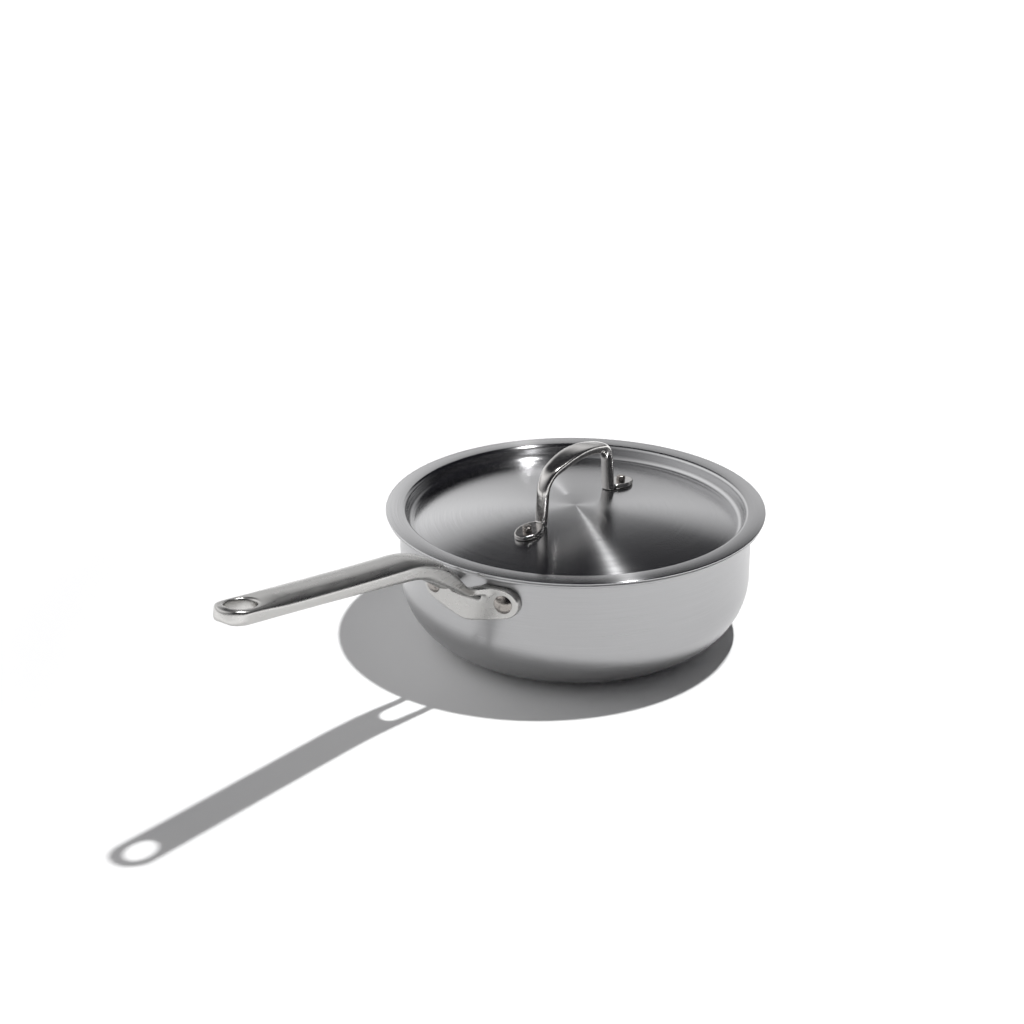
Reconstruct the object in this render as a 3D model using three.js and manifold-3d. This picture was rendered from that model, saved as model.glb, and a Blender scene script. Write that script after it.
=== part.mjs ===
// Saucier with a fitted lid, in millimetres, +Z up.
// The origin is the centre of the flat base, and the long handle points along +X.
import * as THREE from "three";
import { mergeVertices } from "three/addons/utils/BufferGeometryUtils.js";
import Module from "manifold-3d";

const wasm = await Module();
wasm.setup();

// Gaps between the pieces
const SEAT_GAP = 0.3;
const SHANK_GAP = 0.3;

// Pan shell
const PAN_RADIUS = 113.6;
const PAN_SHEET = 2.4;
const PAN_HEIGHT = 86.7;
const PAN_CORNER = 44.6;
const LIP_BEND = 5;
const LIP_LEDGE = 2.9;

// Lid sheet
const LID_SHEET = 1.2;
const LID_OVERHANG = 1;
const LID_PLUG_GAP = 1;
const LID_SHOULDER = 2.6;
const LID_RECESS = 9.8;
const LID_GROOVE = 4.4;
const LID_DOME_RISE = 9.7;

// Lid handle
const LID_RIVET_REACH = 52.8;
const FOOT_LENGTH = 24;
const FOOT_WIDTH = 15.5;
const FOOT_THICKNESS = 2.8;
const LEG_REACH = 42.2;
const LEG_LEAN = 4;
const LEG_WIDTH = 8.8;
const LEG_THICKNESS = 6.6;
const GRIP_RISE = 39;
const GRIP_WIDTH = 14.6;
const GRIP_THICKNESS = 7.8;
const GRIP_EDGE = 1.2;
const GRIP_SQUARENESS = 4;
const GRIP_SLOPE = THREE.MathUtils.degToRad(12);
const GRIP_BEND = 90;
const KNEE_BEND = 18;

// Long handle: bar and hanging hole
const HANDLE_REACH = 328.5;
const BAR_WIDTH = 23.4;
const BAR_THICKNESS = 12.6;
const BAR_TIP_THICKNESS = 10.4;
const BAR_CROWN = 0.4;
const BAR_SHOULDER = 6.4;
const BAR_KEEL = 2.5;
const SHOULDER_END = THREE.MathUtils.degToRad(20);
const BAR_RISE = THREE.MathUtils.degToRad(9.95);
const HOLE_LENGTH = 20.5;
const HOLE_WIDTH = 16;
const HOLE_TO_TIP = 15;
const TIP_BLUNTNESS = 0.4;

// Long handle: fork and rivet plate
const ARM_WIDTH = 4.5;
const ARM_HEIGHT = 5.5;
const ARM_EDGE = 1.7;
const ARM_CROWN = 0.1;
const ARM_RISE = THREE.MathUtils.degToRad(42.05);
const ARM_RUN = 13.4;
const ELBOW_BEND = 10;
const FOOT_BEND = 20;
const FORK_REACH = 35;
const FORK_ROOT = 6;
const FORK_BEND = 70;
const WINDOW_REACH = 35.5;
const PLATE_THICKNESS = 4.4;
const PLATE_DIP = THREE.MathUtils.degToRad(14);
const PLATE_TIP_ROUND = 5;
const PAD_RADIUS = 9.7;
const PAD_DEPTH = 20.3;
const SLOT_HEIGHT = 4.2;

// Rivets
const RIVET_ANGLE = THREE.MathUtils.degToRad(13);
const RIVET_SHANK = 3;
const RIVET_HEAD = 5.9;
const RIVET_DOME = 2.8;
const RIVET_TAIL_DOME = 1.6;
const LID_RIVET_SHANK = 2;
const LID_RIVET_HEAD = 2.9;
const LID_RIVET_HEIGHT = 2.8;
const LID_RIVET_EDGE = 0.7;
const LID_RIVET_TAIL = 4;
const LID_RIVET_TAIL_DOME = 1.2;

// Facets of the turned pieces, and how far a cut runs beyond what it cuts
const ROUND = 64;
const RIVET_ROUND = 18;
const CUT_REACH = 60;
const TIP_TURN = THREE.MathUtils.degToRad(87);

// Heights and radii that follow from the sizes above
const panInner = PAN_RADIUS - PAN_SHEET;
const lipRadius = PAN_RADIUS + LIP_BEND + LIP_LEDGE;
const lidTop = PAN_HEIGHT + SEAT_GAP + LID_SHEET;
const lidRadius = lipRadius + LID_OVERHANG;
const plugRadius = panInner - LID_PLUG_GAP - LID_SHEET;
const rivetHeight = lidTop - PAD_DEPTH;
const wallFace = PAN_RADIUS + SEAT_GAP;
const plateFace = wallFace + PLATE_THICKNESS;

// A closed surface as a solid for joining and cutting
function solid(geometry) {
  const bare = geometry.clone();
  bare.deleteAttribute("normal");
  bare.deleteAttribute("uv");
  const merged = mergeVertices(bare, 1e-4);
  const corners = merged.index.array;
  const triangles = [];
  for (let i = 0; i < corners.length; i += 3) {
    const [a, b, c] = [corners[i], corners[i + 1], corners[i + 2]];
    if (a !== b && b !== c && c !== a) triangles.push(a, b, c);
  }
  return new wasm.Manifold(
    new wasm.Mesh({
      numProp: 3,
      vertProperties: merged.attributes.position.array,
      triVerts: new Uint32Array(triangles),
    }),
  );
}

// The finished solid as a geometry that a mesh can hold
function surface(made) {
  const mesh = made.getMesh();
  const geometry = new THREE.BufferGeometry();
  geometry.setAttribute("position", new THREE.BufferAttribute(mesh.vertProperties, 3));
  geometry.setIndex(new THREE.BufferAttribute(mesh.triVerts, 1));
  geometry.computeVertexNormals();
  return geometry;
}

// Points on a circular arc from one angle to another, both ends included
function arc(x, y, radius, from, to, steps) {
  const points = [];
  for (let i = 0; i <= steps; i++) {
    const angle = from + ((to - from) * i) / steps;
    points.push(new THREE.Vector2(x + radius * Math.cos(angle), y + radius * Math.sin(angle)));
  }
  return points;
}

// A profile of radius and height turned round the vertical axis
function turned(profile, facets) {
  return new THREE.LatheGeometry(profile, facets).rotateX(Math.PI / 2);
}

// A line through corners, each inner corner rounded with its own radius
function roundedRun(corners, radii, steps) {
  const points = [corners[0].clone()];
  for (let i = 1; i < corners.length - 1; i++) {
    const corner = corners[i];
    const back = corners[i - 1].clone().sub(corner).normalize();
    const ahead = corners[i + 1].clone().sub(corner).normalize();
    const turn = Math.PI - Math.acos(THREE.MathUtils.clamp(back.dot(ahead), -1, 1));
    const trim = radii[i - 1] * Math.tan(turn / 2);
    const start = corner.clone().addScaledVector(back, trim);
    const end = corner.clone().addScaledVector(ahead, trim);
    const toCentre = back.clone().add(ahead).normalize();
    const centre = corner.clone().addScaledVector(toCentre, radii[i - 1] / Math.cos(turn / 2));
    for (let k = 0; k <= steps; k++) {
      const share = k / steps;
      const chord = start.clone().lerp(end, share).sub(centre);
      points.push(chord.setLength(radii[i - 1]).add(centre));
    }
  }
  points.push(corners[corners.length - 1].clone());
  return points;
}

// The height of a run of points at a given distance from the axis
function heightAt(run, x) {
  for (let i = 1; i < run.length; i++) {
    const [a, b] = [run[i - 1], run[i]];
    if (x <= b.x) return a.y + ((b.y - a.y) * (x - a.x)) / (b.x - a.x);
  }
  return run[run.length - 1].y;
}

// Rings of points, all of the same count, skinned and capped at both ends
function skinned(rings) {
  const count = rings[0].length;
  const positions = [];
  const index = [];
  rings.forEach((ring) => ring.forEach((p) => positions.push(p.x, p.y, p.z)));
  for (let i = 0; i + 1 < rings.length; i++) {
    for (let k = 0; k < count; k++) {
      const next = (k + 1) % count;
      const [a, b] = [i * count + k, i * count + next];
      const [c, d] = [a + count, b + count];
      index.push(a, b, d, a, d, c);
    }
  }
  const last = (rings.length - 1) * count;
  for (let k = 1; k + 1 < count; k++) {
    index.push(0, k + 1, k);
    index.push(last, last + k, last + k + 1);
  }
  const geometry = new THREE.BufferGeometry();
  geometry.setAttribute("position", new THREE.Float32BufferAttribute(positions, 3));
  geometry.setIndex(index);
  return geometry;
}

// A bar's section as a ring of points: a crowned top, round shoulders that end in an edge above
// upright sides, and round lower edges
function crownedSection(halfWidth, halfHeight, crown, shoulder, keel) {
  const crownRadius = (halfWidth ** 2 + crown ** 2) / (2 * crown);
  const crownCentre = halfHeight - crownRadius;
  const reach = halfWidth - shoulder * Math.cos(SHOULDER_END);
  const lift = Math.sqrt((crownRadius - shoulder) ** 2 - reach ** 2);
  const turn = Math.atan2(lift, reach);
  const [x, y] = [halfWidth - keel, halfHeight - keel];
  return [
    ...arc(reach, crownCentre + lift, shoulder, SHOULDER_END, turn, 3),
    ...arc(0, crownCentre, crownRadius, turn, Math.PI - turn, 6).slice(1, -1),
    ...arc(-reach, crownCentre + lift, shoulder, Math.PI - turn, Math.PI - SHOULDER_END, 3),
    ...arc(-x, -y, keel, Math.PI, 1.5 * Math.PI, 3),
    ...arc(x, -y, keel, 1.5 * Math.PI, 2 * Math.PI, 3),
  ];
}

// A section laid across a path: its width stays level, its height stands square to the path
function placedSection(section, at, along) {
  const side = new THREE.Vector3(0, 0, 1).cross(along).normalize();
  const up = along.clone().cross(side).normalize();
  return section.map((p) => at.clone().addScaledVector(side, p.x).addScaledVector(up, p.y));
}

// An outline given a depth along Z, with square edges
function extruded(outline, depth, curveSegments) {
  return new THREE.ExtrudeGeometry(outline, { depth, bevelEnabled: false, curveSegments });
}

// An outline drawn in width and height, pushed along the X axis
function pushedAlongX(outline, from, to) {
  const geometry = extruded(outline, to - from, 12);
  const frame = new THREE.Matrix4().makeBasis(
    new THREE.Vector3(0, 1, 0),
    new THREE.Vector3(0, 0, 1),
    new THREE.Vector3(1, 0, 0),
  );
  return geometry.applyMatrix4(frame).translate(from, 0, 0);
}

// A rivet hole through the wall or the lid, along the rivet's own axis
function rivetHole(radius, frame) {
  const bore = new THREE.CylinderGeometry(radius, radius, CUT_REACH, RIVET_ROUND).rotateX(Math.PI / 2);
  return solid(bore.applyMatrix4(frame));
}

// Where each long-handle rivet stands: its axis runs straight out of the wall
function handleRivetFrame(sideSign) {
  const turn = new THREE.Matrix4().makeRotationZ(sideSign * RIVET_ANGLE);
  const lay = new THREE.Matrix4().makeRotationY(Math.PI / 2);
  const out = new THREE.Matrix4().makeTranslation(PAN_RADIUS, 0, rivetHeight);
  return turn.multiply(out).multiply(lay);
}

// Pan shell: outer face up from the base, over the lip, inner face down again
const wallTop = PAN_HEIGHT - PAN_SHEET - LIP_BEND;
const cornerCentre = PAN_RADIUS - PAN_CORNER;
const panProfile = [
  new THREE.Vector2(0, 0),
  ...arc(cornerCentre, PAN_CORNER, PAN_CORNER, -Math.PI / 2, 0, 7),
  ...arc(PAN_RADIUS + LIP_BEND, wallTop, LIP_BEND, Math.PI, Math.PI / 2, 3),
  ...arc(lipRadius - PAN_SHEET / 2, PAN_HEIGHT - PAN_SHEET / 2, PAN_SHEET / 2, -Math.PI / 2, Math.PI / 2, 3),
  ...arc(PAN_RADIUS + LIP_BEND, wallTop, LIP_BEND + PAN_SHEET, Math.PI / 2, Math.PI, 3),
  ...arc(cornerCentre, PAN_CORNER, PAN_CORNER - PAN_SHEET, 0, -Math.PI / 2, 7),
  new THREE.Vector2(0, PAN_SHEET),
];
const panHoles = [1, -1].map((s) => rivetHole(RIVET_SHANK + SHANK_GAP, handleRivetFrame(s)));
const panShape = panHoles.reduce((made, hole) => made.subtract(hole), solid(turned(panProfile, ROUND)));

// Lid: the upper face from the rim inwards, then the lower face at sheet thickness under it
const grooveEdge = plugRadius - LID_GROOVE;
const domeSlope = 2 * Math.atan(LID_DOME_RISE / grooveEdge);
const domeEdge = grooveEdge - LID_GROOVE * Math.sin(domeSlope);
const domeRadius = domeEdge / Math.sin(domeSlope);
const grooveHeight = lidTop - LID_RECESS + LID_GROOVE;
const domeCentre = grooveHeight - LID_GROOVE * Math.cos(domeSlope) - domeRadius * Math.cos(domeSlope);
const domeTop = domeCentre + domeRadius;
function lidFace(under) {
  const turnDown = Math.PI / 2 + domeSlope;
  return [
    ...arc(plugRadius + LID_SHOULDER, lidTop - LID_SHOULDER, LID_SHOULDER - under, Math.PI / 2, Math.PI, 3),
    ...arc(grooveEdge, grooveHeight, LID_GROOVE + under, 0, -turnDown, 5),
    ...arc(0, domeCentre, domeRadius - under, Math.PI / 2 - domeSlope, Math.PI / 2, 5).slice(1),
  ];
}
const edgeRound = LID_SHEET / 2;
const lidProfile = [
  ...lidFace(LID_SHEET).reverse(),
  ...arc(lidRadius - edgeRound, lidTop - edgeRound, edgeRound, -Math.PI / 2, Math.PI / 2, 2),
  ...lidFace(0),
];

// Where each lid rivet stands: its axis runs square out of the dome
const rivetTilt = Math.asin(LID_RIVET_REACH / domeRadius);
function lidRivetFrame(sideSign) {
  const toCentre = new THREE.Matrix4().makeTranslation(0, 0, domeCentre);
  const tilt = new THREE.Matrix4().makeRotationY(sideSign * rivetTilt);
  const out = new THREE.Matrix4().makeTranslation(0, 0, domeRadius);
  return toCentre.multiply(tilt).multiply(out);
}
const lidHoles = [1, -1].map((s) => rivetHole(LID_RIVET_SHANK + SHANK_GAP, lidRivetFrame(s)));
const lidShape = lidHoles.reduce((made, hole) => made.subtract(hole), solid(turned(lidProfile, ROUND)));

// Lid handle: a flat-topped, round-bellied grip over two knees, which turns into round legs
const gripTop = domeTop + GRIP_RISE;
const kneeReach = LEG_REACH - LEG_LEAN;
const peakDrop = GRIP_BEND * (1 / Math.cos(GRIP_SLOPE) - 1);
const peak = gripTop + peakDrop;
const kneeHeight = peak - kneeReach * Math.tan(GRIP_SLOPE);
const legFoot = domeTop - LID_RECESS;
const gripRun = roundedRun(
  [
    new THREE.Vector2(-LEG_REACH, legFoot),
    new THREE.Vector2(-kneeReach, kneeHeight),
    new THREE.Vector2(0, peak),
    new THREE.Vector2(kneeReach, kneeHeight),
    new THREE.Vector2(LEG_REACH, legFoot),
  ],
  [KNEE_BEND, GRIP_BEND, KNEE_BEND],
  8,
);
function gripSection(width, thickness, upper, squareness) {
  const power = 2 / squareness;
  return arc(0, 0, 1, 0, 2 * Math.PI, 16).slice(0, -1).map((p) => {
    if (p.y < 0) return new THREE.Vector2((p.x * width) / 2, p.y * (thickness - upper) - upper);
    const across = Math.sign(p.x) * Math.abs(p.x) ** power;
    return new THREE.Vector2((across * width) / 2, p.y ** power * upper - upper);
  });
}
const gripRings = gripRun.map((p, i) => {
  const before = gripRun[Math.max(i - 1, 0)];
  const after = gripRun[Math.min(i + 1, gripRun.length - 1)];
  const along = new THREE.Vector3(after.x - before.x, 0, after.y - before.y).normalize();
  const middle = Math.max(0, 1 - (p.x / kneeReach) ** 2);
  const section = gripSection(
    THREE.MathUtils.lerp(LEG_WIDTH, GRIP_WIDTH, middle),
    THREE.MathUtils.lerp(LEG_THICKNESS, GRIP_THICKNESS, middle),
    THREE.MathUtils.lerp(LEG_THICKNESS / 2, GRIP_EDGE, middle),
    THREE.MathUtils.lerp(2, GRIP_SQUARENESS, middle),
  );
  return placedSection(section, new THREE.Vector3(p.x, 0, p.y), along);
});

// Oval feet of the lid handle, flat on top and lying along the dome
function lidFoot(sideSign) {
  const oval = new THREE.Shape();
  oval.absellipse(0, 0, FOOT_LENGTH / 2, FOOT_WIDTH / 2, 0, 2 * Math.PI);
  const plate = extruded(oval, 2 * FOOT_THICKNESS, 14);
  const inward = (LID_RIVET_REACH - LEG_REACH + LEG_THICKNESS / 2 - FOOT_LENGTH / 2) * sideSign;
  plate.translate(-inward, 0, SEAT_GAP - FOOT_THICKNESS);
  return solid(plate.applyMatrix4(lidRivetFrame(sideSign)));
}
const underDome = [
  new THREE.Vector2(0, domeTop - CUT_REACH),
  new THREE.Vector2(domeEdge, domeTop - CUT_REACH),
  ...arc(0, domeCentre, domeRadius + SEAT_GAP, Math.PI / 2 - domeSlope, Math.PI / 2, 5),
];
const lidHandleShape = [solid(skinned(gripRings)), lidFoot(1), lidFoot(-1)]
  .reduce((made, next) => made.add(next))
  .subtract(solid(turned(underDome, ROUND)))
  .subtract(lidHoles[0])
  .subtract(lidHoles[1]);

// Spine of the long handle seen from the side: level at the wall, up the arms, out along the bar
const armHeight = rivetHeight + PAD_RADIUS - ARM_HEIGHT / 2;
const armFoot = PAN_RADIUS + ARM_RUN;
const forkCorner = armFoot + FORK_REACH;
const forkHeight = armHeight + FORK_REACH * Math.tan(ARM_RISE);
const spineEnd = HANDLE_REACH + BAR_WIDTH;
const spine = roundedRun(
  [
    new THREE.Vector2(PAN_RADIUS - CUT_REACH, armHeight),
    new THREE.Vector2(armFoot, armHeight),
    new THREE.Vector2(forkCorner, forkHeight),
    new THREE.Vector2(spineEnd, forkHeight + (spineEnd - forkCorner) * Math.tan(BAR_RISE)),
  ],
  [FOOT_BEND, FORK_BEND],
  8,
);
function spineFrame(x) {
  const at = new THREE.Vector3(x, 0, heightAt(spine, x));
  const along = new THREE.Vector3(2, 0, heightAt(spine, x + 1) - heightAt(spine, x - 1)).normalize();
  return { at, along };
}

// Plan of each arm: straight along the bar's edge, then an elbow that runs out flush with the plate
const plateMiddle = wallFace + PLATE_THICKNESS / 2;
const padSide = plateMiddle * Math.sin(RIVET_ANGLE);
const barHalf = BAR_WIDTH / 2;
const windowHalf = barHalf - ARM_WIDTH;
const windowEnd = PAN_RADIUS + WINDOW_REACH - windowHalf;
const elbowSide = barHalf + ELBOW_BEND;
const elbowOut = Math.sqrt((plateFace + ELBOW_BEND) ** 2 - elbowSide ** 2);
const elbowEnd = -Math.PI + Math.atan2(elbowSide, elbowOut);
const elbow = arc(elbowOut, elbowSide, ELBOW_BEND, elbowEnd, -Math.PI / 2, 7);

// Stations from the wall to the tip: distance from the axis and half the width there
const tipCentre = HANDLE_REACH - barHalf;
const bendEnd = forkCorner + FORK_BEND * Math.tan((ARM_RISE - BAR_RISE) / 2);
const stations = [new THREE.Vector2(PAN_RADIUS - PAN_SHEET, elbow[0].y), ...elbow];
for (const [from, to, steps] of [[elbowOut, bendEnd, 10], [bendEnd, tipCentre, 4]]) {
  for (let i = 1; i <= steps; i++) {
    stations.push(new THREE.Vector2(THREE.MathUtils.lerp(from, to, i / steps), barHalf));
  }
}
const tipRound = arc(tipCentre, 0, barHalf, Math.PI / 2, Math.PI / 2 - TIP_TURN, 6);
stations.push(...tipRound.slice(1));

// Depth and section of the handle: thin square-edged arms, a bar that is deepest at the fork
function depthAt(x) {
  const root = THREE.MathUtils.smoothstep(x, armFoot, forkCorner - FORK_ROOT);
  const tip = THREE.MathUtils.clamp((x - bendEnd) / (tipCentre - bendEnd), 0, 1);
  const bar = THREE.MathUtils.lerp(BAR_TIP_THICKNESS, BAR_THICKNESS, (1 - tip) ** 3);
  return THREE.MathUtils.lerp(ARM_HEIGHT, bar, root);
}
function barSection(x) {
  const bar = THREE.MathUtils.smoothstep(x, windowEnd - windowHalf, forkCorner + FORK_ROOT);
  return crownedSection(
    barHalf,
    depthAt(x) / 2,
    THREE.MathUtils.lerp(ARM_CROWN, BAR_CROWN, bar),
    THREE.MathUtils.lerp(ARM_EDGE, BAR_SHOULDER, bar),
    THREE.MathUtils.lerp(ARM_EDGE, BAR_KEEL, bar),
  );
}
const handleRings = stations.map((station) => {
  const nose = depthAt(station.x) / 2;
  const fade = Math.max(0, station.x - HANDLE_REACH + nose) / nose;
  const flatten = THREE.MathUtils.lerp(TIP_BLUNTNESS, 1, Math.sqrt(1 - fade ** 2));
  const narrow = Math.min(1, station.y / barHalf);
  const widen = Math.max(0, station.y - barHalf);
  const section = barSection(station.x).map(
    (p) => new THREE.Vector2(p.x * narrow + Math.sign(p.x) * widen, p.y * flatten),
  );
  const { at, along } = spineFrame(station.x);
  return placedSection(section, at, along);
});

// Window between the arms: round at the bar's end, following the elbows at the wall
const slotSide = barHalf;
const innerElbow = ELBOW_BEND + ARM_WIDTH;
const innerEnd = -Math.PI + Math.asin((elbowSide - slotSide) / innerElbow);
const windowOutline = new THREE.Shape();
windowOutline.moveTo(PAN_RADIUS - CUT_REACH, -slotSide);
windowOutline.absarc(elbowOut, -elbowSide, innerElbow, -innerEnd, Math.PI / 2, true);
windowOutline.absarc(windowEnd, 0, windowHalf, -Math.PI / 2, Math.PI / 2, false);
windowOutline.absarc(elbowOut, elbowSide, innerElbow, -Math.PI / 2, innerEnd, true);
windowOutline.lineTo(PAN_RADIUS - CUT_REACH, slotSide);
const windowCut = extruded(windowOutline, 2 * CUT_REACH, 8).translate(0, 0, armHeight - CUT_REACH);

// Hanging hole near the tip, square through the bar
const holeMiddle = spineFrame(HANDLE_REACH - HOLE_TO_TIP);
const holeOutline = new THREE.Shape();
holeOutline.absellipse(0, 0, HOLE_LENGTH / 2, HOLE_WIDTH / 2, 0, 2 * Math.PI);
const holeCut = extruded(holeOutline, CUT_REACH, 14).translate(0, 0, -CUT_REACH / 2).rotateY(-BAR_RISE);
holeCut.translate(holeMiddle.at.x, 0, holeMiddle.at.z);

// Rivet plate: two round pads, a shallow pointed lower edge, bent round the wall
const plateOutline = new THREE.Shape();
const padLow = -Math.PI / 2 + PLATE_DIP;
const dipStart = new THREE.Vector2(
  padSide + PAD_RADIUS * Math.cos(padLow),
  rivetHeight + PAD_RADIUS * Math.sin(padLow),
);
const dipRound = dipStart.y - (dipStart.x - PLATE_TIP_ROUND) * Math.tan(PLATE_DIP);
const dipPoint = dipStart.y - dipStart.x * Math.tan(PLATE_DIP);
plateOutline.moveTo(dipStart.x, dipStart.y);
plateOutline.absarc(padSide, rivetHeight, PAD_RADIUS, padLow, Math.PI / 2);
plateOutline.lineTo(-padSide, rivetHeight + PAD_RADIUS);
plateOutline.absarc(-padSide, rivetHeight, PAD_RADIUS, Math.PI / 2, Math.PI - padLow);
plateOutline.lineTo(-PLATE_TIP_ROUND, dipRound);
plateOutline.quadraticCurveTo(0, dipPoint, PLATE_TIP_ROUND, dipRound);
const plateBand = turned(
  [
    new THREE.Vector2(wallFace, rivetHeight - CUT_REACH),
    new THREE.Vector2(plateFace, rivetHeight - CUT_REACH),
    new THREE.Vector2(plateFace, rivetHeight + CUT_REACH),
    new THREE.Vector2(wallFace, rivetHeight + CUT_REACH),
    new THREE.Vector2(wallFace, rivetHeight - CUT_REACH),
  ],
  ROUND,
);

// The open middle of the plate above its upper edge, which leaves a slot under each arm
const slotFloor = armHeight - ARM_HEIGHT / 2 - SLOT_HEIGHT;
const slotRound = SLOT_HEIGHT / 2;
const notchOutline = new THREE.Shape();
notchOutline.moveTo(slotSide, armHeight + CUT_REACH);
notchOutline.lineTo(-slotSide, armHeight + CUT_REACH);
notchOutline.absarc(-slotSide + slotRound, slotFloor + slotRound, slotRound, Math.PI, 1.5 * Math.PI);
notchOutline.absarc(slotSide - slotRound, slotFloor + slotRound, slotRound, 1.5 * Math.PI, 2 * Math.PI);
const wallClear = [
  new THREE.Vector2(0, rivetHeight - CUT_REACH),
  new THREE.Vector2(wallFace, rivetHeight - CUT_REACH),
  new THREE.Vector2(wallFace, rivetHeight + CUT_REACH),
  new THREE.Vector2(0, rivetHeight + CUT_REACH),
];
const plateShape = solid(pushedAlongX(plateOutline, PAN_RADIUS / 2, plateFace + CUT_REACH))
  .intersect(solid(plateBand))
  .subtract(solid(pushedAlongX(notchOutline, PAN_RADIUS / 2, plateFace + CUT_REACH)));
const longHandleShape = solid(skinned(handleRings))
  .subtract(solid(windowCut))
  .subtract(solid(holeCut))
  .add(plateShape)
  .subtract(solid(turned(wallClear, ROUND)))
  .subtract(panHoles[0])
  .subtract(panHoles[1]);

// Long-handle rivet along its own axis: low dome inside the pan, shank, round head outside
function dome(radius, rise, base, outward) {
  const ball = (radius ** 2 + rise ** 2) / (2 * rise);
  const spread = Math.asin(radius / ball);
  const top = (outward * Math.PI) / 2;
  return arc(0, base + outward * (rise - ball), ball, top - outward * spread, top, 4);
}
const insideFlat = Math.sqrt(panInner ** 2 - RIVET_HEAD ** 2) - PAN_RADIUS - SEAT_GAP;
const outsideFlat = plateFace - PAN_RADIUS + SEAT_GAP;
const handleRivetProfile = [
  ...dome(RIVET_HEAD, RIVET_TAIL_DOME, insideFlat, -1).reverse(),
  new THREE.Vector2(RIVET_SHANK, insideFlat),
  new THREE.Vector2(RIVET_SHANK, outsideFlat),
  ...dome(RIVET_HEAD, RIVET_DOME, outsideFlat, 1),
];

// Lid rivet along its own axis: low dome under the lid, shank, short round-edged stud on the foot
const underFlat = -LID_SHEET - SEAT_GAP;
const footFlat = FOOT_THICKNESS + 2 * SEAT_GAP;
const studTop = footFlat + LID_RIVET_HEIGHT;
const lidRivetProfile = [
  ...dome(LID_RIVET_TAIL, LID_RIVET_TAIL_DOME, underFlat, -1).reverse(),
  new THREE.Vector2(LID_RIVET_SHANK, underFlat),
  new THREE.Vector2(LID_RIVET_SHANK, footFlat),
  new THREE.Vector2(LID_RIVET_HEAD, footFlat),
  ...arc(LID_RIVET_HEAD - LID_RIVET_EDGE, studTop - LID_RIVET_EDGE, LID_RIVET_EDGE, 0, Math.PI / 2, 3),
  new THREE.Vector2(0, studTop),
];

// Finishes: brushed sheet for pan and lid, polished castings and rivets
function steel(colour, roughness) {
  return new THREE.MeshStandardMaterial({ color: colour, roughness, metalness: 1 });
}
function piece(name, geometry, material) {
  const mesh = new THREE.Mesh(geometry, material);
  mesh.name = name;
  return mesh;
}
function rivet(name, profile, frame, material) {
  const mesh = piece(name, turned(profile, RIVET_ROUND), material);
  mesh.applyMatrix4(frame);
  return mesh;
}

const pan = new THREE.Group();
pan.add(
  piece("pan_body", surface(panShape), steel(0xc4c3c4, 0.34)),
  piece("long_handle", surface(longHandleShape), steel(0xb9b9b8, 0.24)),
  rivet("handle_rivet_left", handleRivetProfile, handleRivetFrame(1), steel(0xb4aca6, 0.2)),
  rivet("handle_rivet_right", handleRivetProfile, handleRivetFrame(-1), steel(0xb4aca6, 0.2)),
);
const cover = new THREE.Group();
cover.add(
  piece("lid", surface(lidShape), steel(0xbdbdc0, 0.3)),
  piece("lid_handle", surface(lidHandleShape), steel(0xbcb9b6, 0.16)),
  rivet("lid_rivet_front", lidRivetProfile, lidRivetFrame(1), steel(0xb2aeac, 0.22)),
  rivet("lid_rivet_rear", lidRivetProfile, lidRivetFrame(-1), steel(0xb2aeac, 0.22)),
);
const saucier = new THREE.Group();
saucier.add(pan, cover);

export default saucier;
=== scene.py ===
import math

import bmesh
import bpy
from mathutils import Euler, Matrix, Vector


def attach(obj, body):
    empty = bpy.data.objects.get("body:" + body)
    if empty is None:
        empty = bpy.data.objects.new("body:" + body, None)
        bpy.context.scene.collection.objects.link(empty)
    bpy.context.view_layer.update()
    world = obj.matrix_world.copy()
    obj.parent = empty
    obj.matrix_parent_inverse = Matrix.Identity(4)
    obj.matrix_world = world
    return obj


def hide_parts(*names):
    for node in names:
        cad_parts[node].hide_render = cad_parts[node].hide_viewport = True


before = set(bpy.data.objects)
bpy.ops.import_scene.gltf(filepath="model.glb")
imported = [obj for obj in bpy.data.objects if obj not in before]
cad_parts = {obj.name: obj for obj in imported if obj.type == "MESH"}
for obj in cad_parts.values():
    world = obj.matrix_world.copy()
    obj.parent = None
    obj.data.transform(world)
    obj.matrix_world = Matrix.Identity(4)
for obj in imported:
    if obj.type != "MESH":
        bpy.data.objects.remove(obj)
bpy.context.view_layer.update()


# Pan: one clad stainless sheet spun to a deep bowl with a wide round corner,
# its rim rolled outwards to a level lip. The outside is brushed round the
# axis on a lathe. Sizes are in millimetres here, and MM makes them metres.
MM = 0.001
PAN_RADIUS = 113.6
PAN_SHEET = 2.4
PAN_HEIGHT = 86.7
PAN_CORNER = 44.6
LIP_BEND = 5.0
LIP_LEDGE = 2.9
CORNER_STEPS = 28
LIP_STEPS = 10
SPIN_STEPS = 256
WELD = 0.001
SMOOTH_ANGLE = math.radians(35)
GRAIN_SPAN = {"From Min": 0.3, "From Max": 0.7}
LINE_CHANGES = 2.2
SCRATCH_DEPTH = 0.02
ACROSS_LINES = 0.25


def linear(hex_colour):
    """An sRGB hex value as the linear colour that a shader reads."""
    shares = [int(hex_colour[i:i + 2], 16) / 255 for i in (1, 3, 5)]
    return [s / 12.92 if s <= 0.04045 else ((s + 0.055) / 1.055) ** 2.4 for s in shares] + [1.0]


def add_node(tree, kind, values=None, links=None, **settings):
    """One shader node with its settings, plain values and links."""
    made = tree.nodes.new(kind)
    for name, value in settings.items():
        setattr(made, name, value)
    for name, value in (values or {}).items():
        made.inputs[name].default_value = value
    for name, socket in (links or {}).items():
        tree.links.new(socket, made.inputs[name])
    return made


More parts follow.
